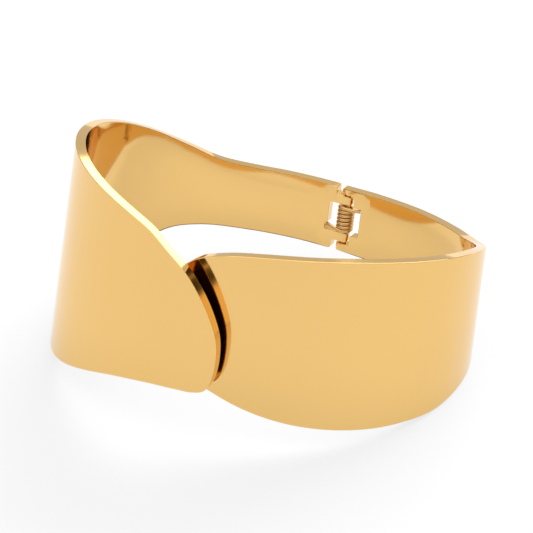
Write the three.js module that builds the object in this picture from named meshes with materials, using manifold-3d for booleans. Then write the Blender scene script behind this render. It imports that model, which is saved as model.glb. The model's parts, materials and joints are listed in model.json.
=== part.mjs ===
// A hinged cuff bracelet. Two bent half shells meet at a small sprung hinge behind the wrist,
// and the wide left half sweeps over the end of the right half in front.
//
// Millimetres, +Z up. The bracelet lies on its lower edges, and the origin is the centre of its
// outer box at floor level. Inside the group "ring", Z is the axis of the ring, the hinge pin is
// behind at +Y, and angles run counterclockwise from +X, so that 90 degrees is the hinge, 180 the
// left side, 270 the front and 360 the right side.

import * as THREE from 'three';
import { mergeVertices } from 'three/addons/utils/BufferGeometryUtils.js';
import Module from 'manifold-3d';

const wasm = await Module();
wasm.setup();

// ---------------------------------------------------------------- driving dimensions

const RING_HALF_WIDTH = 31;       // outside, side to side
const RING_HALF_DEPTH = 25.5;     // outside, hinge to front
const OVAL_POWER = 2.1;           // 2 would be a true ellipse
const WALL = 1.65;                // thickness of the sheet
const CHAMFER = 0.2;              // broken corner along every long edge
const OVERLAP_LIFT = 2.8;         // how far the left tip stands outside the oval
const LIFT_FROM = 150;            // the left half leaves the oval here, in degrees
const LIFT_TO = 265;              // and has its full lift here
const UNDERLAP_DIP = 0.5;         // how far the right half's end stands inside the oval
const DIP_TO = 262;               // it has its full dip here
const DIP_FROM = 315;             // and leaves the oval here
const TIP_SWELL = 0.4;            // the sheet is this much thicker at the left tip
const SWELL_FROM = 252;           // it thickens between these angles
const SWELL_TO = 275;
const STATION_STEP = 1.6;         // degrees between cross-sections of a half
const END_STATIONS = 14;          // closer cross-sections round each free end
const END_SPAN = 9;               // over this many degrees

const PIN_RADIUS = 0.4;
const PIN_HOLE_RADIUS = 0.56;
const PIN_TOP = 4.75;             // it stops inside the upper ear
const PIN_BOTTOM = -4.7;
const PIN_HOLE_TOP = 4.95;
const KNUCKLE_RADIUS = 0.86;      // rounded ends of arms and ears round the pin
const LEFT_END = -1.6;            // where the left half's full height stops
const RIGHT_END = 1.35;           // where the right half's full height stops
const ARM_TOP = 4.0;              // left half's two arms lie between these heights
const ARM_BOTTOM = -3.4;
const EAR_GAP = 0.25;             // running clearance between arms and ears
const WINDOW_TOP = 2.6;
const WINDOW_BOTTOM = -2.0;
const WINDOW_LEFT = -2.55;
const WINDOW_RIGHT = 2.7;
const LEG_SLOT_LEFT = -2.95;      // the slot that takes the spring's lower leg
const LEG_SLOT_TOP = -1.0;
const CUT_ACROSS = 4;             // cuts run this far past the pin, beyond both halves' ends
const CUT_HEIGHT = 20;            // and this far up and down, beyond every edge
const HOLE_HEIGHT = 10;
const PIN_SIDES = 24;
const HOLE_SIDES = 32;
const KNUCKLE_SIDES = 48;

const WIRE_RADIUS = 0.27;
const COIL_RADIUS = 1.04;         // to the middle of the wire
const COIL_TURNS = 6;
const COIL_PITCH = 0.62;
const COIL_STEPS_PER_TURN = 16;
const WIRE_SIDES = 8;
const LOWER_LEG_REACH = 2.7;      // from the pin into the left half's slot
const UPPER_LEG_REACH = 2.45;     // from the pin into the right half's window
const LOWER_LEG_RISE = 0.35;      // the lower leg climbs away from the coil
const LEG_DEPTH = 0.45;           // the legs end this far inside the middle of the wall

const LEAN_BACK = 11.3;           // how the ring leans when it lies at rest, in degrees
const LEAN_RIGHT = 3.9;

// ---------------------------------------------------------------- outlines of the two halves

// Upper edge of the left half, from the hinge round the left side to the tip in front.
const LEFT_TOP = [
  { angle: 86, height: 5.2 },
  { angle: 108, height: 5.2 },
  { angle: 124, height: 5.4 },
  { angle: 134, height: 6.2 },
  { angle: 145, height: 8.6 },
  { angle: 157, height: 11.5 },
  { angle: 170, height: 14.2 },
  { angle: 184, height: 16.3 },
  { angle: 198, height: 17.3 },
  { angle: 214, height: 17.4 },
  { angle: 230, height: 16.8 },
  { angle: 243, height: 15.8 },
  { angle: 251, height: 14.7 },
  { angle: 258, height: 12.7 },
  { angle: 265, height: 10.4 },
  { angle: 271, height: 7.3 },
  { angle: 275.5, height: 4.0 },
  { angle: 278.2, height: 1.0 },
  { angle: 279, height: -2.0 },
];

// Lower edge of the left half, from the tip back to the hinge.
const LEFT_BOTTOM = [
  { angle: 279, height: -2 },
  { angle: 278.5, height: -5.2 },
  { angle: 276.8, height: -7.2 },
  { angle: 273, height: -8.1 },
  { angle: 266, height: -8.5 },
  { angle: 256, height: -9.1 },
  { angle: 243, height: -10.5 },
  { angle: 231, height: -12.4 },
  { angle: 221, height: -14 },
  { angle: 212, height: -15.05 },
  { angle: 203, height: -15.5 },
  { angle: 195, height: -15.2 },
  { angle: 187, height: -14.1 },
  { angle: 178, height: -12.3 },
  { angle: 168, height: -9.9 },
  { angle: 158, height: -7.2 },
  { angle: 148, height: -5.1 },
  { angle: 138, height: -4.6 },
  { angle: 122, height: -4.8 },
  { angle: 86, height: -4.9 },
];

// Upper edge of the right half, from the hinge round the right side to its end in front.
const RIGHT_TOP = [
  { angle: 454, height: 5.2 },
  { angle: 440, height: 5.4 },
  { angle: 422, height: 5.95 },
  { angle: 406, height: 6.6 },
  { angle: 394, height: 7.5 },
  { angle: 384, height: 9.1 },
  { angle: 374, height: 11.0 },
  { angle: 362, height: 13.0 },
  { angle: 350, height: 14.4 },
  { angle: 336, height: 15.4 },
  { angle: 320, height: 15.8 },
  { angle: 304, height: 15.4 },
  { angle: 288, height: 14.5 },
  { angle: 275, height: 13.2 },
  { angle: 265, height: 11.3 },
  { angle: 258.5, height: 8.2 },
  { angle: 256, height: 4.0 },
  { angle: 255.5, height: 0.5 },
];

// Lower edge of the right half, from its end back to the hinge.
const RIGHT_BOTTOM = [
  { angle: 255.5, height: 0.5 },
  { angle: 256, height: -2.8 },
  { angle: 259, height: -5.6 },
  { angle: 266, height: -7.3 },
  { angle: 275, height: -8.6 },
  { angle: 287, height: -10.1 },
  { angle: 300, height: -11.1 },
  { angle: 314, height: -11.5 },
  { angle: 328, height: -11.35 },
  { angle: 340, height: -10.85 },
  { angle: 349, height: -10.45 },
  { angle: 356, height: -9.76 },
  { angle: 363, height: -9 },
  { angle: 370, height: -8.3 },
  { angle: 378, height: -7.56 },
  { angle: 386, height: -6.96 },
  { angle: 397, height: -6.2 },
  { angle: 410, height: -5.45 },
  { angle: 424, height: -5 },
  { angle: 454, height: -4.9 },
];

// ---------------------------------------------------------------- the oval that both halves follow

function radians(degrees) {
  return THREE.MathUtils.degToRad(degrees);
}

// A point on the oval moved outwards by "offset" along the oval's normal.
function ovalPoint(angle, offset) {
  const c = Math.cos(radians(angle));
  const s = Math.sin(radians(angle));
  const a = RING_HALF_WIDTH;
  const b = RING_HALF_DEPTH;
  const n = OVAL_POWER;
  const reach = Math.pow(Math.pow(Math.abs(c / a), n) + Math.pow(Math.abs(s / b), n), -1 / n);
  const x = reach * c;
  const y = reach * s;
  const normal = new THREE.Vector2(
    Math.sign(c) * Math.pow(Math.abs(x / a), n - 1) / a,
    Math.sign(s) * Math.pow(Math.abs(y / b), n - 1) / b,
  ).normalize();
  return new THREE.Vector2(x + offset * normal.x, y + offset * normal.y);
}

function leftLift(angle) {
  return OVERLAP_LIFT * THREE.MathUtils.smoothstep(angle, LIFT_FROM, LIFT_TO);
}

function rightLift(angle) {
  return UNDERLAP_DIP * (THREE.MathUtils.smoothstep(angle, DIP_TO, DIP_FROM) - 1);
}

function leftWall(angle) {
  return WALL + TIP_SWELL * THREE.MathUtils.smoothstep(angle, SWELL_FROM, SWELL_TO);
}

function rightWall() {
  return WALL;
}

// ---------------------------------------------------------------- a half shell from its outline

// A smooth curve through the rows of one outline table, as many short steps.
function outlineCurve(rows) {
  const points = rows.map((row) => new THREE.Vector3(row.angle, row.height, 0));
  return new THREE.CatmullRomCurve3(points, false, 'centripetal').getPoints(40 * rows.length);
}

// The height of an outline at one angle. Past its ends it keeps its end heights.
function heightAt(curve, angle) {
  const first = curve[0];
  const last = curve[curve.length - 1];
  const points = first.x < last.x ? curve : [...curve].reverse();
  if (angle < points[0].x) {
    return points[0].y;
  }
  for (let i = 1; i < points.length; i += 1) {
    const from = points[i - 1];
    const to = points[i];
    if (angle >= from.x && angle < to.x) {
      return THREE.MathUtils.mapLinear(angle, from.x, to.x, from.y, to.y);
    }
  }
  return points[points.length - 1].y;
}

// Angles of the cross-sections: even steps from the hinge, then closer towards the free end.
function stationAngles(hingeAngle, endAngle) {
  const closeSpan = END_SPAN * Math.sign(hingeAngle - endAngle);
  const closeFrom = endAngle + closeSpan;
  const count = Math.ceil(Math.abs(closeFrom - hingeAngle) / STATION_STEP);
  const angles = [];
  for (let i = 0; i < count; i += 1) {
    angles.push(THREE.MathUtils.lerp(hingeAngle, closeFrom, i / count));
  }
  for (let i = 0; i < END_STATIONS; i += 1) {
    const turn = (Math.PI / 2) * (i / END_STATIONS);
    angles.push(endAngle + closeSpan * (1 - Math.sin(turn)));
  }
  return angles;
}

// Closed solid between the upper and lower outlines, with the same eight-cornered
// cross-section at every station.
function halfShell(topRows, bottomRows, lift, wall) {
  const top = outlineCurve(topRows);
  const bottom = outlineCurve(bottomRows);
  const hingeAngle = topRows[0].angle;
  const endAngle = bottomRows[0].angle;
  const angles = stationAngles(hingeAngle, endAngle);
  const positions = [];
  const indices = [];
  const corners = 8;
  for (const angle of angles) {
    const high = heightAt(top, angle);
    const low = heightAt(bottom, angle);
    const chamfer = Math.min(CHAMFER, (high - low) / 4);
    const outside = lift(angle);
    const inside = outside - wall(angle);
    const section = [
      { offset: outside, height: low + chamfer },
      { offset: outside, height: high - chamfer },
      { offset: outside - chamfer, height: high },
      { offset: inside + chamfer, height: high },
      { offset: inside, height: high - chamfer },
      { offset: inside, height: low + chamfer },
      { offset: inside + chamfer, height: low },
      { offset: outside - chamfer, height: low },
    ];
    for (const corner of section) {
      const point = ovalPoint(angle, corner.offset);
      positions.push(point.x, point.y, corner.height);
    }
  }
  // The cross-sections run the other way round, seen from outside, where the angles fall.
  const falling = endAngle < hingeAngle;
  const addTriangle = (a, b, c) => indices.push(...(falling ? [a, b, c] : [a, c, b]));
  for (let i = 0; i + 1 < angles.length; i += 1) {
    for (let k = 0; k < corners; k += 1) {
      const a = i * corners + k;
      const b = i * corners + (k + 1) % corners;
      addTriangle(a, b, a + corners);
      addTriangle(b, b + corners, a + corners);
    }
  }
  const last = (angles.length - 1) * corners;
  for (let k = 1; k + 1 < corners; k += 1) {
    addTriangle(0, k + 1, k);
    addTriangle(last, last + k, last + k + 1);
  }
  const geometry = new THREE.BufferGeometry();
  geometry.setAttribute('position', new THREE.Float32BufferAttribute(positions, 3));
  geometry.setIndex(indices);
  return geometry;
}

// ---------------------------------------------------------------- joining and cutting

function toSolid(geometry) {
  const bare = new THREE.BufferGeometry();
  bare.setAttribute('position', geometry.getAttribute('position').clone());
  bare.setIndex(geometry.getIndex());
  const merged = mergeVertices(bare, 1e-4);
  return new wasm.Manifold(new wasm.Mesh({
    numProp: 3,
    vertProperties: new Float32Array(merged.getAttribute('position').array),
    triVerts: new Uint32Array(merged.getIndex().array),
  }));
}

function toGeometry(solid) {
  const mesh = solid.getMesh();
  const geometry = new THREE.BufferGeometry();
  geometry.setAttribute('position', new THREE.BufferAttribute(mesh.vertProperties, 3));
  geometry.setIndex(new THREE.BufferAttribute(mesh.triVerts, 1));
  geometry.computeVertexNormals();
  return geometry;
}

// The middle of the wall at the hinge, where the pin stands.
const PIN_Y = RING_HALF_DEPTH - WALL / 2;

// A box at the hinge, from its limits across (x) and in height (z). It passes through the wall.
function hingeBlock(left, right, bottom, top) {
  const depth = 3 * WALL;
  const geometry = new THREE.BoxGeometry(right - left, depth, top - bottom);
  geometry.translate((left + right) / 2, PIN_Y, (bottom + top) / 2);
  return toSolid(geometry);
}

// A round rod on the pin's axis between two heights.
function pinRod(radius, bottom, top, sides) {
  const geometry = new THREE.CylinderGeometry(radius, radius, top - bottom, sides);
  geometry.rotateX(Math.PI / 2);
  geometry.translate(0, PIN_Y, (bottom + top) / 2);
  return toSolid(geometry);
}

// What has to go from a knuckle that points towards +x (side 1) or -x (side -1)
// to leave its end round about the pin.
function knuckleTrim(side) {
  const far = 3 * side;
  const block = hingeBlock(Math.min(0, far), Math.max(0, far), -CUT_HEIGHT, CUT_HEIGHT);
  const kept = pinRod(KNUCKLE_RADIUS, -CUT_HEIGHT - 1, CUT_HEIGHT + 1, KNUCKLE_SIDES);
  return block.subtract(kept);
}

// ---------------------------------------------------------------- the pieces

function leftHalf() {
  let solid = toSolid(halfShell(LEFT_TOP, LEFT_BOTTOM, leftLift, leftWall));
  const cuts = [
    hingeBlock(LEFT_END, CUT_ACROSS, ARM_TOP, CUT_HEIGHT),
    hingeBlock(LEFT_END, CUT_ACROSS, -CUT_HEIGHT, ARM_BOTTOM),
    hingeBlock(WINDOW_LEFT, CUT_ACROSS, WINDOW_BOTTOM, WINDOW_TOP),
    hingeBlock(LEG_SLOT_LEFT, 0, WINDOW_BOTTOM, LEG_SLOT_TOP),
    pinRod(PIN_HOLE_RADIUS, -HOLE_HEIGHT, HOLE_HEIGHT, HOLE_SIDES),
    knuckleTrim(1),
  ];
  for (const cut of cuts) {
    solid = solid.subtract(cut);
  }
  return toGeometry(solid);
}

function rightHalf() {
  let solid = toSolid(halfShell(RIGHT_TOP, RIGHT_BOTTOM, rightLift, rightWall));
  const cuts = [
    hingeBlock(-CUT_ACROSS, RIGHT_END, ARM_BOTTOM - EAR_GAP, ARM_TOP + EAR_GAP),
    hingeBlock(-CUT_ACROSS, WINDOW_RIGHT, WINDOW_BOTTOM, WINDOW_TOP),
    pinRod(PIN_HOLE_RADIUS, -HOLE_HEIGHT, PIN_HOLE_TOP, HOLE_SIDES),
    knuckleTrim(-1),
  ];
  for (const cut of cuts) {
    solid = solid.subtract(cut);
  }
  return toGeometry(solid);
}

function hingePin() {
  const length = PIN_TOP - PIN_BOTTOM;
  const geometry = new THREE.CylinderGeometry(PIN_RADIUS, PIN_RADIUS, length, PIN_SIDES);
  geometry.rotateX(Math.PI / 2);
  geometry.translate(0, PIN_Y, (PIN_BOTTOM + PIN_TOP) / 2);
  return geometry;
}

// The wire's path: lower leg from the left, up round the pin, upper leg out to the right.
// Both legs leave the coil on the wrist side.
function springPath() {
  const middle = (WINDOW_TOP + WINDOW_BOTTOM) / 2;
  const rise = COIL_TURNS * COIL_PITCH;
  const start = middle - rise / 2;
  const legMiddle = PIN_Y - 0.9 * COIL_RADIUS;
  const points = [
    new THREE.Vector3(-LOWER_LEG_REACH, PIN_Y - LEG_DEPTH, start + LOWER_LEG_RISE),
    new THREE.Vector3(-LOWER_LEG_REACH / 2, legMiddle, start + LOWER_LEG_RISE / 2),
  ];
  const steps = COIL_TURNS * COIL_STEPS_PER_TURN;
  for (let i = 0; i <= steps; i += 1) {
    const turn = i / COIL_STEPS_PER_TURN;
    const angle = 2 * Math.PI * turn - Math.PI / 2;
    points.push(new THREE.Vector3(
      COIL_RADIUS * Math.cos(angle),
      PIN_Y + COIL_RADIUS * Math.sin(angle),
      start + COIL_PITCH * turn,
    ));
  }
  points.push(new THREE.Vector3(UPPER_LEG_REACH / 2, legMiddle, start + rise));
  points.push(new THREE.Vector3(UPPER_LEG_REACH, PIN_Y - LEG_DEPTH, start + rise));
  return points;
}

// The wire's section, a polygon of WIRE_SIDES corners.
function wireSection() {
  const corners = [];
  for (let side = 0; side < WIRE_SIDES; side += 1) {
    const angle = 2 * Math.PI * side / WIRE_SIDES;
    corners.push(new THREE.Vector2(WIRE_RADIUS * Math.cos(angle), WIRE_RADIUS * Math.sin(angle)));
  }
  return new THREE.Shape(corners);
}

function hingeSpring() {
  const points = springPath();
  return new THREE.ExtrudeGeometry(wireSection(), {
    extrudePath: new THREE.CatmullRomCurve3(points, false, 'centripetal'),
    steps: points.length - 1,
    bevelEnabled: false,
  });
}

// ---------------------------------------------------------------- assembly

const polishedGold = new THREE.MeshStandardMaterial({
  color: 0xe3b877,
  roughness: 0.16,
  metalness: 1,
});
const springGold = new THREE.MeshStandardMaterial({
  color: 0xd0a050,
  roughness: 0.3,
  metalness: 1,
});

function piece(name, geometry, material) {
  const mesh = new THREE.Mesh(geometry, material);
  mesh.name = name;
  return mesh;
}

const ring = new THREE.Group();
ring.name = 'ring';
ring.add(piece('left_cuff', leftHalf(), polishedGold));
ring.add(piece('right_cuff', rightHalf(), polishedGold));
ring.add(piece('hinge_pin', hingePin(), polishedGold));
ring.add(piece('hinge_spring', hingeSpring(), springGold));

// Lay the ring down on its lower edges: lean it, then stand it on the floor over the origin.
ring.rotation.set(radians(-LEAN_BACK), radians(LEAN_RIGHT), 0);
const bracelet = new THREE.Group();
bracelet.add(ring);
bracelet.updateMatrixWorld(true);
const box = new THREE.Box3().setFromObject(bracelet, true);
ring.position.set(-(box.min.x + box.max.x) / 2, -(box.min.y + box.max.y) / 2, -box.min.z);

export default bracelet;
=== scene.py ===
"""Looks of the hinged cuff bracelet: finer metal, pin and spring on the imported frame, with a studio.

The metal is worked out in the ring's own frame, in millimetres: Z is the axis of the ring, the hinge
pin is behind at +Y, and angles run counterclockwise from +X. The hinge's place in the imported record
says how that frame lies in the room. A half is a plate bent round the oval. Its outline is drawn
flat, with "along" running from the pin to the right along the wall and "height" along the pin.
"""

import json
import math

import bmesh
import bpy
import numpy as np
from mathutils import Matrix, Vector
from mathutils.geometry import delaunay_2d_cdt
from mathutils.kdtree import KDTree


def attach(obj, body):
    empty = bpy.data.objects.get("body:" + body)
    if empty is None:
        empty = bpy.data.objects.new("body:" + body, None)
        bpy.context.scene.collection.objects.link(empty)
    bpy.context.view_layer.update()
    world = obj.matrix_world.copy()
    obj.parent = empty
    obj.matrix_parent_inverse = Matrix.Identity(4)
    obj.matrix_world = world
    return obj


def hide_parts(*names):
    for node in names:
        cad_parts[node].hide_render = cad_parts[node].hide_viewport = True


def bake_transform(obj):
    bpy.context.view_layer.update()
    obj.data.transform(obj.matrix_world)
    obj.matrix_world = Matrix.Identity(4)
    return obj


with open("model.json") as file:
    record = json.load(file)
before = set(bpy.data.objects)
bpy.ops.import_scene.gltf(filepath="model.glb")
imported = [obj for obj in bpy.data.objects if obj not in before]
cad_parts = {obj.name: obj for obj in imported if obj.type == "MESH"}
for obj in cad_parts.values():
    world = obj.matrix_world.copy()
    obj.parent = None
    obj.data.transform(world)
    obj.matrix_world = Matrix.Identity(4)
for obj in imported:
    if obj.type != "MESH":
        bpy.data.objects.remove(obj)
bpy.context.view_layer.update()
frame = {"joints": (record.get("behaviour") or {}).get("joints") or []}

MM = 0.001
SHARP = math.radians(40)  # edges turning more than this are shaded as creases

# ---------------------------------------------------------------- the ring, in millimetres

RING_HALF_WIDTH = 31.0
RING_HALF_DEPTH = 25.5
OVAL_POWER = 2.1  # 2 would be a true ellipse
WALL = 1.65  # thickness of the sheet
OVERLAP_LIFT = 2.8  # how far the left tip stands outside the oval
LIFT_FROM = 150.0  # the left half leaves the oval here, in degrees
LIFT_TO = 265.0  # and has its full lift here
UNDERLAP_DIP = 0.5  # how far the right half's end stands inside the oval
DIP_TO = 262.0  # it has its full dip here
DIP_FROM = 315.0  # and leaves the oval here
TIP_SWELL = 0.4  # the sheet is this much thicker at the left tip
SWELL_FROM = 252.0  # it thickens between these angles
SWELL_TO = 275.0

ARRIS = 0.13  # radius of the softened long edges
HINGE_ARRIS = 0.07  # and of the edges about the hinge
ARRIS_FROM = 2.6  # the arris widens between these distances from the pin
ARRIS_TO = 7.0
ARRIS_STEPS = 4
EASE_WIDTH = 3.8  # the inner face falls away towards its edges over this width
EASE_DEPTH = 0.17  # by this much at the edge itself
EASE_FROM = 1.4  # the fall grows to that between these distances from the pin
EASE_TO = 4.5
FACE_MARGIN = 0.05  # a face's own first row of points lies this far inside its arris
EDGE_STEP = 0.33  # between points along an outline
NET_ALONG = 0.45  # between points inside a face
NET_HEIGHT = 1.5
NET_MARGIN = 0.3  # the net's points keep this far from the outline's own points
NET_OFF_EDGE = 0.001  # and none of them lies on one of its edges
TOUCHING = 1e-9  # closer than this, a point lies on the edge

# Edge of the left half: (angle in degrees, height), from the hinge over the top to the tip in
# front and back to the hinge underneath.
LEFT_EDGE = (
    (86, 5.2), (108, 5.2), (124, 5.4), (134, 6.2), (145, 8.6), (157, 11.5), (170, 14.2),
    (184, 16.3), (198, 17.3), (214, 17.4), (230, 16.8), (243, 15.8), (251, 14.7), (258, 12.7),
    (265, 10.4), (271, 7.3), (275.5, 4.0), (278.2, 1.0), (279, -2.0), (278.5, -5.2), (276.8, -7.2),
    (273, -8.1), (266, -8.5), (256, -9.1), (243, -10.5), (231, -12.4), (221, -14), (212, -15.05),
    (203, -15.5), (195, -15.2), (187, -14.1), (178, -12.3), (168, -9.9), (158, -7.2), (148, -5.1),
    (138, -4.6), (122, -4.8), (86, -4.9),
)

# Edge of the right half, the same way: over the top to its end in front and back underneath.
RIGHT_EDGE = (
    (454, 5.2), (440, 5.4), (422, 5.95), (406, 6.6), (394, 7.5), (384, 9.1), (374, 11.0),
    (362, 13.0), (350, 14.4), (336, 15.4), (320, 15.8), (304, 15.4), (288, 14.5), (275, 13.2),
    (265, 11.3), (258.5, 8.2), (256, 4.0), (255.5, 0.5), (256, -2.8), (259, -5.6), (266, -7.3),
    (275, -8.6), (287, -10.1), (300, -11.1), (314, -11.5), (328, -11.35), (340, -10.85),
    (349, -10.45), (356, -9.76), (363, -9), (370, -8.3), (378, -7.56), (386, -6.96), (397, -6.2),
    (410, -5.45), (424, -5), (454, -4.9),
)

# Corners of the left half at the hinge, from the lower edge up: (along, height, corner radius).
# Its two arms reach past the pin on both sides of the window for the spring.
LEFT_CORNERS = (
    (-1.6, -4.88, 0.35), (-1.6, -3.4, 0.3), (0.9, -3.4, 0.4), (0.9, -2.0, 0.3),
    (-2.95, -2.0, 0.12), (-2.95, -1.0, 0.12), (-2.55, -1.0, 0.18), (-2.55, 2.6, 0.15),
    (0.9, 2.6, 0.3), (0.9, 4.0, 0.4), (-1.6, 4.0, 0.3), (-1.6, 5.2, 0.35),
)

# Corners of the right half at the hinge, the same way. Its two ears reach past the pin above and
# below the arms.
RIGHT_CORNERS = (
    (-0.9, -4.9, 0.4), (-0.9, -3.65, 0.3), (1.35, -3.65, 0.2), (1.35, -2.0, 0.3),
    (2.7, -2.0, 0.5), (2.7, 2.6, 0.15), (1.35, 2.6, 0.3), (1.35, 4.25, 0.2),
    (-0.9, 4.25, 0.3), (-0.9, 5.2, 0.4),
)
CORNER_STEPS = 6
CURVE_STARTS = 3.6  # an edge table is followed from this far from the pin
CURVE_STEPS = 40  # between two rows of an edge table

# Arms and ears are rounded about the pin: they thin out towards their ends.
KNUCKLE_STARTS = 0.06  # this far past the pin
KNUCKLE_RADIUS = 0.86
KNUCKLE_LIMIT = 0.98  # share of the radius where the thinning stops

PIN_Y = RING_HALF_DEPTH - WALL / 2
PIN_MIDDLE = 0.3  # height of the hinge's named point
PIN_HOLE_RADIUS = 0.56
PIN_HOLE_TOP = 4.95
PIN_SIDES = 48
PIN_PROFILE = (  # (radius, height) from the lower end up
    (0.0, -4.7), (0.28, -4.7), (0.35, -4.67), (0.4, -4.59),
    (0.4, 4.64), (0.35, 4.72), (0.28, 4.75), (0.0, 4.75),
)

WIRE_RADIUS = 0.27
WIRE_SIDES = 16
COIL_RADIUS = 1.04  # to the middle of the wire
COIL_TURNS = 6
COIL_PITCH = 0.62
COIL_STEPS_PER_TURN = 32
COIL_START = PIN_MIDDLE - COIL_TURNS * COIL_PITCH / 2
COIL_END = COIL_START + COIL_TURNS * COIL_PITCH
LOWER_LEG_REACH = 2.7
UPPER_LEG_REACH = 2.45
LOWER_LEG_RISE = 0.35  # the lower leg climbs away from the coil
LEG_DEPTH = 0.45  # the legs end this far inside the middle of the wall
LEG_BOW = 0.9 * COIL_RADIUS  # and run this far inside it on their way

# ---------------------------------------------------------------- the oval and the bent wall

WALK_FROM = 80.0  # the oval is walked between these angles
WALK_TO = 460.0
WALK_STEP = 0.1


def ring_matrix(joint):
    """The ring's frame, in metres, in the room. It follows from the hinge pin's line."""
    axis = Vector(joint["axis"]).normalized()
    lean_back = Matrix.Rotation(math.atan2(-axis.y, axis.z), 4, "X")
    lean_right = Matrix.Rotation(math.asin(axis.x), 4, "Y")
    turn = lean_back @ lean_right
    pin = turn @ Vector((0, PIN_Y * MM, PIN_MIDDLE * MM))
    return Matrix.Translation(Vector(joint["pos_m"]) - pin) @ turn


def oval(angle):
    """Points of the outside oval and its outward normals there, as rows of x and y."""
    c, s = np.cos(np.radians(angle)), np.sin(np.radians(angle))
    a, b, n = RING_HALF_WIDTH, RING_HALF_DEPTH, OVAL_POWER
    reach = (np.abs(c / a) ** n + np.abs(s / b) ** n) ** (-1 / n)
    x, y = reach * c, reach * s
    steep = np.stack(
        [np.sign(c) * np.abs(x / a) ** (n - 1) / a, np.sign(s) * np.abs(y / b) ** (n - 1) / b], -1
    )
    return np.stack([x, y], -1), steep / np.linalg.norm(steep, axis=-1, keepdims=True)


def walked_angles():
    """Angles from before the hinge to a full turn on, with the way walked along mid-wall."""
    angles = np.arange(WALK_FROM, WALK_TO, WALK_STEP)
    points, normals = oval(angles)
    middle = points - normals * WALL / 2
    steps = np.linalg.norm(np.diff(middle, axis=0), axis=1)
    return angles, np.concatenate([[0.0], np.cumsum(steps)])


ANGLES, WALKED = walked_angles()

# Where each half meets the pin, and the way its arms or ears point past it.
LEFT = {"hinge_angle": 90.0, "arms_point": 1.0}
RIGHT = {"hinge_angle": 450.0, "arms_point": -1.0}


def smoothstep(value, start, end):
    """A smooth rise from 0 at start to 1 at end."""
    share = np.clip((value - start) / (end - start), 0, 1)
    return share * share * (3 - 2 * share)


def lift(half, angle):
    """How far a half stands outside the oval. The right half's end dips under the left one's."""
    if half is LEFT:
        return OVERLAP_LIFT * smoothstep(angle, LIFT_FROM, LIFT_TO)
    return UNDERLAP_DIP * (smoothstep(angle, DIP_TO, DIP_FROM) - 1)


def along_of(half, angle):
    """Way along the wall from the pin to an angle, positive to the right of the pin."""
    return np.interp(half["hinge_angle"], ANGLES, WALKED) - np.interp(angle, ANGLES, WALKED)


def swelling(half, angle):
    """How many times thicker the sheet is than its usual thickness."""
    if half is RIGHT:
        return np.ones_like(angle)
    return 1 + TIP_SWELL / WALL * smoothstep(angle, SWELL_FROM, SWELL_TO)


def bent(half, flat):
    """Ring-frame points of flat ones, which are rows of along, height and depth in the wall."""
    along, height, depth = flat.T
    walked = np.interp(half["hinge_angle"], ANGLES, WALKED) - along
    angle = np.interp(walked, WALKED, ANGLES)
    past_pin = (along * half["arms_point"] - KNUCKLE_STARTS) / KNUCKLE_RADIUS
    thinning = np.sqrt(1 - np.clip(past_pin, 0, KNUCKLE_LIMIT) ** 2)
    depth = WALL / 2 + (depth - WALL / 2) * thinning
    depth = depth * swelling(half, angle)
    points, normals = oval(angle)
    xy = points + normals * (lift(half, angle) - depth)[:, None]
    return np.concatenate([xy, height[:, None]], 1)


def bent_normals(half, flat, facing):
    """What directions given in the flat plate's frame become on the bent plate."""
    h = 0.01
    step_along, step_depth = np.array([h, 0, 0]), np.array([0, 0, h])
    by_along = (bent(half, flat + step_along) - bent(half, flat - step_along)) / (2 * h)
    by_depth = (bent(half, flat + step_depth) - bent(half, flat - step_depth)) / (2 * h)
    by_height = np.array([0.0, 0.0, 1.0])
    made = (
        facing[:, :1] * np.cross(by_height, by_depth)
        + facing[:, 1:2] * np.cross(by_depth, by_along)
        + facing[:, 2:] * np.cross(by_along, by_height)
    )
    return made / np.linalg.norm(made, axis=1, keepdims=True)


# ---------------------------------------------------------------- flat outlines


def smooth_curve(rows, steps):
    """A centripetal Catmull-Rom curve through the rows, with that many steps between two rows."""
    rows = np.array(rows, float)
    ends = 2 * rows[0] - rows[1], 2 * rows[-1] - rows[-2]
    padded = np.vstack([ends[0], rows, ends[1]])
    t = np.linspace(0, 1, steps, endpoint=False)[:, None]
    made = []
    for before, start, end, after in zip(padded, padded[1:], padded[2:], padded[3:]):
        d0, d1, d2 = (
            math.sqrt(np.linalg.norm(q - p))
            for p, q in ((before, start), (start, end), (end, after))
        )
        leave = ((start - before) / d0 - (end - before) / (d0 + d1) + (end - start) / d1) * d1
        reach = ((end - start) / d1 - (after - start) / (d1 + d2) + (after - end) / d2) * d1
        made.append(
            (2 * t**3 - 3 * t**2 + 1) * start
            + (t**3 - 2 * t**2 + t) * leave
            + (3 * t**2 - 2 * t**3) * end
            + (t**3 - t**2) * reach
        )
    return np.vstack([*made, rows[-1:]])


def rounded_corners(corners, rest_lies):
    """Points through right-angled corners, each rounded. The outline runs on to the side given."""
    spots = [np.array(corner[:2], float) for corner in corners]
    run_on = np.array([rest_lies, 0.0])
    path = [spots[0] + run_on, *spots, spots[-1] + run_on]
    turn = np.linspace(0, math.pi / 2, CORNER_STEPS + 1)[:, None]
    made = []
    for before, here, after, corner in zip(path, path[1:], path[2:], corners):
        to_before = (before - here) / np.linalg.norm(before - here)
        to_after = (after - here) / np.linalg.norm(after - here)
        bow = to_after * np.cos(turn) + to_before * np.sin(turn)
        made.append(here + corner[2] * (to_before + to_after - bow))
    return np.vstack(made)


def evenly(points, step):
    """The same path with even steps of about that length."""
    lengths = np.linalg.norm(np.diff(points, axis=0), axis=1)
    way = np.concatenate([[0.0], np.cumsum(lengths)])
    stops = np.linspace(0, way[-1], int(way[-1] / step) + 1)
    return np.stack([np.interp(stops, way, column) for column in points.T], -1)


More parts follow.
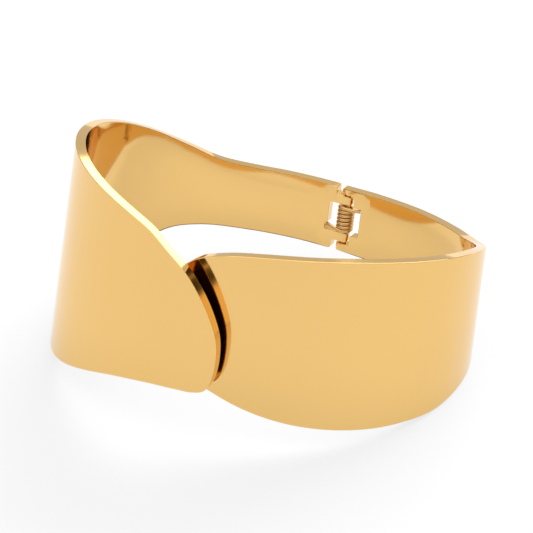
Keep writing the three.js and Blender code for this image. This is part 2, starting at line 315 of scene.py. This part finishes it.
def outline(half, edge, corners):
    """A half's closed outline in the flat, counterclockwise with along to the right."""
    curve = smooth_curve(edge, CURVE_STEPS)
    curve[:, 0] = along_of(half, curve[:, 0])
    curve = curve[np.abs(curve[:, 0]) > CURVE_STARTS]
    points = np.vstack([evenly(curve, EDGE_STEP), rounded_corners(corners, -half["arms_point"])])
    after = np.roll(points, -1, axis=0)
    area = np.sum(points[:, 0] * after[:, 1] - after[:, 0] * points[:, 1])
    return points if area > 0 else points[::-1]


def inward(points):
    """Unit vectors into the outline at each of its points."""
    ahead = np.roll(points, -1, axis=0) - points
    behind = points - np.roll(points, 1, axis=0)
    ahead /= np.linalg.norm(ahead, axis=1, keepdims=True)
    behind /= np.linalg.norm(behind, axis=1, keepdims=True)
    way = ahead + behind
    way /= np.linalg.norm(way, axis=1, keepdims=True)
    return np.stack([-way[:, 1], way[:, 0]], -1)


def inside(points, border):
    """Which points lie inside a closed border."""
    x, y = points[:, :1], points[:, 1:]
    x0, y0 = border.T
    x1, y1 = np.roll(border, -1, axis=0).T
    crosses = (y0 > y) != (y1 > y)
    rise = np.where(y1 == y0, 1.0, y1 - y0)
    return np.sum(crosses & (x < x0 + (y - y0) * (x1 - x0) / rise), axis=1) % 2 == 1


def far_from(points, border, margin):
    """Which points keep that distance from the border's own points."""
    return np.array([np.min(np.sum((border - p) ** 2, axis=1)) > margin**2 for p in points])


def filled(border):
    """Points and triangles over the inside of a border. The border's points come first."""
    low, high = border.min(0), border.max(0)
    along = np.arange(low[0], high[0], NET_ALONG)
    height = np.arange(low[1], high[1], NET_HEIGHT)
    net = np.stack(np.meshgrid(along, height), -1)
    net[1::2, :, 0] += NET_ALONG / 2
    net = net.reshape(-1, 2)
    net = net[inside(net, border)]
    net = net[far_from(net, border, NET_MARGIN)]
    net = net[nearest(net, border)[0] > NET_OFF_EDGE]
    points = np.vstack([border, net])
    flattened = points * np.array([1.0, NET_ALONG / NET_HEIGHT])
    count = len(border)
    loop = [(i, (i + 1) % count) for i in range(count)]
    found = delaunay_2d_cdt([Vector(p) for p in flattened], loop, [], 1, 1e-7, True)
    source = [ids[0] for ids in found[3]]
    triangles = np.array([[source[i] for i in face] for face in found[2]])
    middles = points[triangles].mean(axis=1)
    return points, triangles[inside(middles, border)].tolist()


# ---------------------------------------------------------------- meshes


def edge_share(along):
    """How far the edges are softened: 0 about the hinge, 1 well away from it."""
    return smoothstep(np.abs(along), ARRIS_FROM, ARRIS_TO)


def eased(inset, along):
    """The inner face's fall and slope towards the edge, at distances from the edge."""
    left_over = np.clip(1 - inset / EASE_WIDTH, 0, 1)
    share = smoothstep(np.abs(along), EASE_FROM, EASE_TO)
    return EASE_DEPTH * share * left_over**2, 2 * EASE_DEPTH / EASE_WIDTH * share * left_over


def nearest(points, border):
    """Distances from the points to the border's line, and the unit vectors from there."""
    reach = np.roll(border, -1, axis=0) - border
    lengths = np.sum(reach**2, axis=1)
    away, ways = [], []
    for p in points:
        share = np.clip(np.sum((p - border) * reach, axis=1) / lengths, 0, 1)
        steps = p - border - reach * share[:, None]
        i = np.argmin(np.sum(steps**2, axis=1))
        away.append(np.linalg.norm(steps[i]))
        ways.append(steps[i] / max(away[-1], TOUCHING))
    return np.array(away), np.array(ways)


def edge_rows(radius):
    """Rows round the plate's edge from the outer face to the inner one: (inset, depth, turn)."""
    turns = np.linspace(0, math.pi / 2, ARRIS_STEPS + 1)
    outer = [(radius * (1 - math.sin(t)), radius * (1 - math.cos(t)), t) for t in turns]
    outer = [(radius + FACE_MARGIN, 0 * radius, 0.0), *outer]
    inner = [(inset, WALL - depth, math.pi - turn) for inset, depth, turn in reversed(outer)]
    return outer + inner


def row_points(line, into, row):
    """Flat points of one row and the directions that they face."""
    inset, depth, turn = row
    fall, slope = eased(inset, line[:, 0])
    inner = max(0.0, 2 * turn / math.pi - 1)  # 0 on the outer face and 1 on the inner one
    turn = turn - inner * slope
    spot = line + into * inset[:, None]
    points = np.column_stack([spot, depth - fall * (inner > 0)])
    return points, np.column_stack([-into * np.sin(turn)[:, None], -np.cos(turn)])


def band_faces(rows, count):
    """Quads between neighbours in so many closed rows of that many points."""
    faces = []
    for k in range(rows - 1):
        for i in range(count):
            a, b = k * count + i, k * count + (i + 1) % count
            faces.append([a, b, b + count, a + count])
    return faces


def cap_faces(triangles, count, row_start, net_start):
    """Triangles over a face. The first "count" points are its border row, the rest its net."""
    return [
        [row_start + i if i < count else net_start + i - count for i in triangle]
        for triangle in triangles
    ]


def plate_mesh(half, edge, corners):
    """Vertices, their normals and faces of a half: an outline with wall, arrises and two faces."""
    line = outline(half, edge, corners)
    into = inward(line)
    rows = edge_rows(HINGE_ARRIS + (ARRIS - HINGE_ARRIS) * edge_share(line[:, 0]))
    made = [row_points(line, into, row) for row in rows]
    count = len(line)
    points, triangles = filled(made[0][0][:, :2])
    net = points[count:]
    inner_row = (len(rows) - 1) * count
    outer_net = len(rows) * count
    inner_net = outer_net + len(net)
    faces = band_faces(len(rows), count)
    faces += cap_faces(triangles, count, 0, outer_net)
    faces += [face[::-1] for face in cap_faces(triangles, count, inner_row, inner_net)]
    level = np.zeros(len(net))
    made.append((np.column_stack([net, level]), np.column_stack([net * 0, level - 1])))
    away, ways = nearest(net, line)
    fall, slope = eased(away, net[:, 0])
    leaning = np.column_stack([-ways * slope[:, None], level + 1])
    made.append((np.column_stack([net, WALL - fall]), leaning))
    flat = np.vstack([spots for spots, _ in made])
    facing = np.vstack([directions for _, directions in made])
    return bent(half, flat), bent_normals(half, flat, facing), faces


def new_mesh(name, points, faces):
    """A smooth-shaded mesh from points in millimetres, with every face turned outwards."""
    mesh = bpy.data.meshes.new(name)
    mesh.from_pydata([tuple(p * MM) for p in np.asarray(points)], [], faces)
    work = bmesh.new()
    work.from_mesh(mesh)
    bmesh.ops.recalc_face_normals(work, faces=work.faces)
    work.to_mesh(mesh)
    work.free()
    mesh.shade_smooth()
    return mesh


def pin_rod(radius, bottom, top):
    """A round rod on the pin's line, as a passing object to cut with."""
    work = bmesh.new()
    bmesh.ops.create_cone(
        work, cap_ends=True, segments=PIN_SIDES, depth=(top - bottom) * MM,
        radius1=radius * MM, radius2=radius * MM,
        matrix=Matrix.Translation((0, PIN_Y * MM, (bottom + top) / 2 * MM)),
    )
    mesh = bpy.data.meshes.new("cutter")
    work.to_mesh(mesh)
    work.free()
    rod = bpy.data.objects.new("cutter", mesh)
    bpy.context.scene.collection.objects.link(rod)
    return rod


def drilled(mesh, radius, bottom, top):
    """The mesh with a round hole on the pin's line."""
    body = bpy.data.objects.new("drilled", mesh)
    bpy.context.scene.collection.objects.link(body)
    rod = pin_rod(radius, bottom, top)
    cut = body.modifiers.new("pin_hole", "BOOLEAN")
    cut.object = rod
    cut.operation = "DIFFERENCE"
    cut.solver = "EXACT"
    made = bpy.data.meshes.new_from_object(
        body.evaluated_get(bpy.context.evaluated_depsgraph_get())
    )
    for passing in (body, rod):
        bpy.data.objects.remove(passing)
    return made


def keep_normals(mesh, points, normals):
    """Gives the mesh the true normals wherever it still has one of the points."""
    tree = KDTree(len(points))
    for i, p in enumerate(points):
        tree.insert(p * MM, i)
    tree.balance()
    close = 1e-4 * MM
    known = {}
    for vertex in mesh.vertices:
        _, i, distance = tree.find(vertex.co)
        known[vertex.index] = tuple(normals[i]) if distance < close else (0.0, 0.0, 0.0)
    mesh.set_sharp_from_angle(angle=SHARP)
    mesh.normals_split_custom_set([known[loop.vertex_index] for loop in mesh.loops])


def half_mesh(name, half, edge, corners, hole_top):
    """One half of the bracelet, with its pin hole."""
    points, normals, faces = plate_mesh(half, edge, corners)
    below = PIN_PROFILE[0][1] - WALL
    mesh = drilled(new_mesh(name, points, faces), PIN_HOLE_RADIUS, below, hole_top)
    mesh.name = name
    keep_normals(mesh, points, normals)
    return mesh


def pin_mesh(name):
    """The hinge pin, turned from its profile."""
    turns = np.linspace(0, 2 * math.pi, PIN_SIDES, endpoint=False)
    points = []
    for radius, height in PIN_PROFILE[1:-1]:
        for t in turns:
            points.append((radius * math.cos(t), PIN_Y + radius * math.sin(t), height))
    faces = band_faces(len(PIN_PROFILE) - 2, PIN_SIDES)
    for end, first in ((PIN_PROFILE[0], 0), (PIN_PROFILE[-1], len(points) - PIN_SIDES)):
        tip = len(points)
        points.append((end[0], PIN_Y, end[1]))
        for i in range(PIN_SIDES):
            faces.append([first + i, first + (i + 1) % PIN_SIDES, tip])
    mesh = new_mesh(name, points, faces)
    mesh.set_sharp_from_angle(angle=SHARP)
    return mesh


def spring_path():
    """The wire's middle line: lower leg from the left, up round the pin, upper leg to the right."""
    leg_y = PIN_Y - LEG_BOW
    rows = [
        (-LOWER_LEG_REACH, PIN_Y - LEG_DEPTH, COIL_START + LOWER_LEG_RISE),
        (-LOWER_LEG_REACH / 2, leg_y, COIL_START + LOWER_LEG_RISE / 2),
    ]
    for i in range(COIL_TURNS * COIL_STEPS_PER_TURN + 1):
        turn = i / COIL_STEPS_PER_TURN
        angle = 2 * math.pi * turn - math.pi / 2
        rows.append((
            COIL_RADIUS * math.cos(angle),
            PIN_Y + COIL_RADIUS * math.sin(angle),
            COIL_START + COIL_PITCH * turn,
        ))
    rows.append((UPPER_LEG_REACH / 2, leg_y, COIL_END))
    rows.append((UPPER_LEG_REACH, PIN_Y - LEG_DEPTH, COIL_END))
    return smooth_curve(rows, 2)


def spring_mesh(name):
    """Round wire along the spring's path, with closed ends."""
    path = spring_path()
    way = np.gradient(path, axis=0)
    way /= np.linalg.norm(way, axis=1, keepdims=True)
    across = np.cross(way, [0.0, 0.0, 1.0])
    across /= np.linalg.norm(across, axis=1, keepdims=True)
    upright = np.cross(across, way)
    points = []
    for p, a, u in zip(path, across, upright):
        for side in range(WIRE_SIDES):
            t = 2 * math.pi * side / WIRE_SIDES
            points.append(p + WIRE_RADIUS * (a * math.cos(t) + u * math.sin(t)))
    faces = band_faces(len(path), WIRE_SIDES)
    last = (len(path) - 1) * WIRE_SIDES
    faces.append(list(range(WIRE_SIDES)))
    faces.append(list(range(last, last + WIRE_SIDES)))
    mesh = new_mesh(name, points, faces)
    mesh.set_sharp_from_angle(angle=SHARP)
    return mesh


# ---------------------------------------------------------------- materials


CLOUDS_PER_METRE = 60.0
GLOSS_CHANGE = 0.15  # share by which the roughness goes up and down
MARK_LENGTH = 6.5 * MM
MARK_WIDTH = 0.11 * MM
MARK_DEPTH = 0.005 * MM
FLOOR_MOTTLE = 40.0
RING = ring_matrix(frame["joints"][0])


def polishing_marks(nodes, links, place, scratch):
    """A bump of hair-fine marks that run round the ring: long in its X and Y and fine in its Z."""
    stretch = nodes.new("ShaderNodeMapping")
    stretch.vector_type = "TEXTURE"
    stretch.inputs["Rotation"].default_value = RING.to_euler()
    stretch.inputs["Scale"].default_value = (MARK_LENGTH, MARK_LENGTH, MARK_WIDTH)
    links.new(place, stretch.inputs["Vector"])
    marks = nodes.new("ShaderNodeTexNoise")
    marks.inputs["Scale"].default_value = 1.0
    marks.inputs["Detail"].default_value = 3.0
    links.new(stretch.outputs["Vector"], marks.inputs["Vector"])
    bump = nodes.new("ShaderNodeBump")
    bump.inputs["Strength"].default_value = scratch
    bump.inputs["Distance"].default_value = MARK_DEPTH
    links.new(marks.outputs["Fac"], bump.inputs["Height"])
    return bump.outputs["Normal"]


def gold(name, colour, tint, roughness, scratch):
    """Polished gold plate: slight shifts of tone, uneven gloss and hair-fine polishing marks."""
    material = bpy.data.materials.new(name)
    material.use_nodes = True
    nodes, links = material.node_tree.nodes, material.node_tree.links
    shader = nodes["Principled BSDF"]
    shader.inputs["Metallic"].default_value = 1.0
    place = nodes.new("ShaderNodeTexCoord").outputs["Object"]

    clouds = nodes.new("ShaderNodeTexNoise")
    clouds.inputs["Scale"].default_value = CLOUDS_PER_METRE
    clouds.inputs["Detail"].default_value = 2.0
    links.new(place, clouds.inputs["Vector"])
    tone = nodes.new("ShaderNodeMix")
    tone.data_type = "RGBA"
    tone.inputs["A"].default_value = (*colour, 1)
    tone.inputs["B"].default_value = (*tint, 1)
    links.new(clouds.outputs["Fac"], tone.inputs["Factor"])
    links.new(tone.outputs["Result"], shader.inputs["Base Color"])

    gloss = nodes.new("ShaderNodeMapRange")
    gloss.inputs["To Min"].default_value = roughness * (1 - GLOSS_CHANGE)
    gloss.inputs["To Max"].default_value = roughness * (1 + GLOSS_CHANGE)
    links.new(clouds.outputs["Fac"], gloss.inputs["Value"])
    links.new(gloss.outputs["Result"], shader.inputs["Roughness"])
    links.new(polishing_marks(nodes, links, place, scratch), shader.inputs["Normal"])
    return material


def floor_material():
    """Matt white paper with a barely visible mottle."""
    material = bpy.data.materials.new("floor_paper")
    material.use_nodes = True
    nodes, links = material.node_tree.nodes, material.node_tree.links
    shader = nodes["Principled BSDF"]
    shader.inputs["Roughness"].default_value = 0.9
    shader.inputs["Specular IOR Level"].default_value = 0.1
    mottle = nodes.new("ShaderNodeTexNoise")
    mottle.inputs["Scale"].default_value = FLOOR_MOTTLE
    tone = nodes.new("ShaderNodeMix")
    tone.data_type = "RGBA"
    tone.inputs["A"].default_value = (0.83, 0.83, 0.83, 1)
    tone.inputs["B"].default_value = (0.85, 0.85, 0.85, 1)
    links.new(mottle.outputs["Fac"], tone.inputs["Factor"])
    links.new(tone.outputs["Result"], shader.inputs["Base Color"])
    return material


# ---------------------------------------------------------------- the pieces


def add_piece(name, mesh, material, replaced):
    """A piece in the room's frame, with its finish and the CAD node that it stands for."""
    mesh.transform(RING)
    mesh.materials.append(material)
    piece = bpy.data.objects.new(name, mesh)
    bpy.context.scene.collection.objects.link(piece)
    piece.visible_diffuse = False  # the floor's shadow stays neutral
    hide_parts(replaced)
    return piece


polished_gold = gold("polished_gold", (0.835, 0.535, 0.192), (0.855, 0.55, 0.202), 0.085, 0.1)
pin_gold = gold("pin_gold", (0.78, 0.51, 0.2), (0.82, 0.54, 0.22), 0.2, 0.3)
# The spring's gold is darker and browner than the pin's gold. That is painted shade, standing for the
# shade that falls on the spring inside the hinge window.
spring_gold = gold("spring_gold", (0.6, 0.37, 0.14), (0.74, 0.48, 0.19), 0.28, 0.5)

left_metal = add_piece(
    "left_cuff_metal",
    half_mesh("left_cuff_metal", LEFT, LEFT_EDGE, LEFT_CORNERS, PIN_HOLE_TOP),
    polished_gold, "left_cuff",
)
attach(left_metal, "left_half")

right_metal = add_piece(
    "right_cuff_metal",
    half_mesh("right_cuff_metal", RIGHT, RIGHT_EDGE, RIGHT_CORNERS, PIN_HOLE_TOP),
    polished_gold, "right_cuff",
)
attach(right_metal, "right_half")

pin_metal = add_piece("pin_metal", pin_mesh("pin_metal"), pin_gold, "hinge_pin")
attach(pin_metal, "left_half")

# The spring winds up as the halves open, its lower leg staying with the left half and its upper leg
# going with the right half. Here it is one rigid piece, baked into the room's frame and attached to
# neither half.
spring_wire = add_piece(
    "spring_wire", spring_mesh("spring_wire"), spring_gold, "hinge_spring"
)
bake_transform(spring_wire)

# ---------------------------------------------------------------- studio

FLOOR_HALF_SIZE = 4.0
TENT_BACK = 0.68  # the tent's radiance behind the bracelet
TENT_FRONT = 1.15  # and in front of it
DARK_SHARE = 0.03  # how much of it is left where the tent is open
DARK_SPOTS = (  # azimuth, elevation, radius in degrees
    (152.5, 34.5, 5.5),
    (145.0, 25.0, 5.5),
)
DARK_RIM = 1.0  # a spot's edge fades over this many degrees to either side
TENT_FRONT_Y = -0.9  # the tent's radiance changes between these parts of the way to the back
TENT_BACK_Y = 0.3
SOFTBOXES = (  # name, azimuth, elevation, distance, width, height, radiance
    ("back_softbox", 2.0, 33.0, 1.0, 0.8, 0.42, 2.9),
    ("top_softbox", 0.0, 80.0, 1.0, 1.6, 1.6, 0.62),
)


def add_floor():
    """A plain white floor under the bracelet."""
    mesh = bpy.data.meshes.new("floor")
    s = FLOOR_HALF_SIZE
    mesh.from_pydata([(-s, -s, 0), (s, -s, 0), (s, s, 0), (-s, s, 0)], [], [(0, 1, 2, 3)])
    mesh.materials.append(floor_material())
    floor = bpy.data.objects.new("floor", mesh)
    bpy.context.scene.collection.objects.link(floor)


def heading(azimuth, elevation):
    """The direction at an azimuth, in degrees from +Y towards +X, and an elevation."""
    a, e = math.radians(azimuth), math.radians(elevation)
    return Vector((math.sin(a) * math.cos(e), math.cos(a) * math.cos(e), math.sin(e)))


def add_softbox(name, azimuth, elevation, distance, width, height, radiance):
    """A rectangular soft light that faces the bracelet and isn't seen directly."""
    light = bpy.data.lights.new(name, "AREA")
    light.shape = "RECTANGLE"
    light.size = width
    light.size_y = height
    light.energy = radiance * math.pi * width * height
    box = bpy.data.objects.new(name, light)
    bpy.context.scene.collection.objects.link(box)
    away = heading(azimuth, elevation)
    box.location = away * distance
    box.rotation_euler = away.to_track_quat("Z", "Y").to_euler()
    box.visible_camera = False


def dark_spot(nodes, links, place, towards, radius):
    """A factor that is 1 all round and drops within a radius, in degrees, of a direction."""
    nearness = nodes.new("ShaderNodeVectorMath")
    nearness.operation = "DOT_PRODUCT"
    nearness.inputs[1].default_value = towards
    links.new(place.outputs["Generated"], nearness.inputs[0])
    fall = nodes.new("ShaderNodeMapRange")
    fall.interpolation_type = "SMOOTHSTEP"
    fall.inputs["From Min"].default_value = math.cos(math.radians(radius + DARK_RIM))
    fall.inputs["From Max"].default_value = math.cos(math.radians(radius - DARK_RIM))
    fall.inputs["To Min"].default_value = 1.0
    fall.inputs["To Max"].default_value = DARK_SHARE
    links.new(nearness.outputs["Value"], fall.inputs["Value"])
    return fall.outputs["Result"]


def add_world():
    """A bright tent, brighter in front, with dark spots where the camera looks in."""
    world = bpy.data.worlds.new("studio")
    bpy.context.scene.world = world
    world.use_nodes = True
    nodes, links = world.node_tree.nodes, world.node_tree.links
    place = nodes.new("ShaderNodeTexCoord")
    split = nodes.new("ShaderNodeSeparateXYZ")
    links.new(place.outputs["Generated"], split.inputs["Vector"])
    tent = nodes.new("ShaderNodeMapRange")
    tent.inputs["From Min"].default_value = TENT_FRONT_Y
    tent.inputs["From Max"].default_value = TENT_BACK_Y
    tent.inputs["To Min"].default_value = TENT_FRONT
    tent.inputs["To Max"].default_value = TENT_BACK
    links.new(split.outputs["Y"], tent.inputs["Value"])

    radiance = tent.outputs["Result"]
    for azimuth, elevation, radius in DARK_SPOTS:
        share = dark_spot(nodes, links, place, heading(azimuth, elevation), radius)
        product = nodes.new("ShaderNodeMath")
        product.operation = "MULTIPLY"
        links.new(radiance, product.inputs[0])
        links.new(share, product.inputs[1])
        radiance = product.outputs["Value"]
    background = nodes["Background"]
    background.inputs["Color"].default_value = (1, 1, 1, 1)
    links.new(radiance, background.inputs["Strength"])


# The camera looks down at the bracelet from the front, a little from the right.
CAMERA_AIM = Vector((-1.01, 1.87, 12.52)) * MM
CAMERA_AZIMUTH = 26.863
CAMERA_ELEVATION = 33.658
CAMERA_ROLL = 2.007
CAMERA_DISTANCE = 2.5
CAMERA_LENS = 1143.3


def add_camera():
    """A long lens, so that the view is nearly parallel."""
    camera = bpy.data.cameras.new("camera")
    camera.sensor_width = 36.0
    camera.lens = CAMERA_LENS
    camera.clip_end = 20.0
    holder = bpy.data.objects.new("camera", camera)
    bpy.context.scene.collection.objects.link(holder)
    bpy.context.scene.camera = holder
    back = -heading(-CAMERA_AZIMUTH, -CAMERA_ELEVATION)
    right = Vector((0, 0, 1)).cross(back).normalized()
    up = back.cross(right)
    roll = math.radians(CAMERA_ROLL)
    tilted_up = math.cos(roll) * up + math.sin(roll) * right
    tilted_right = math.cos(roll) * right - math.sin(roll) * up
    turn = Matrix((tilted_right, tilted_up, back)).transposed().to_4x4()
    holder.matrix_world = Matrix.Translation(CAMERA_AIM + back * CAMERA_DISTANCE) @ turn


add_floor()
for softbox in SOFTBOXES:
    add_softbox(*softbox)
add_world()
add_camera()
bpy.context.scene.view_settings.view_transform = "Standard"
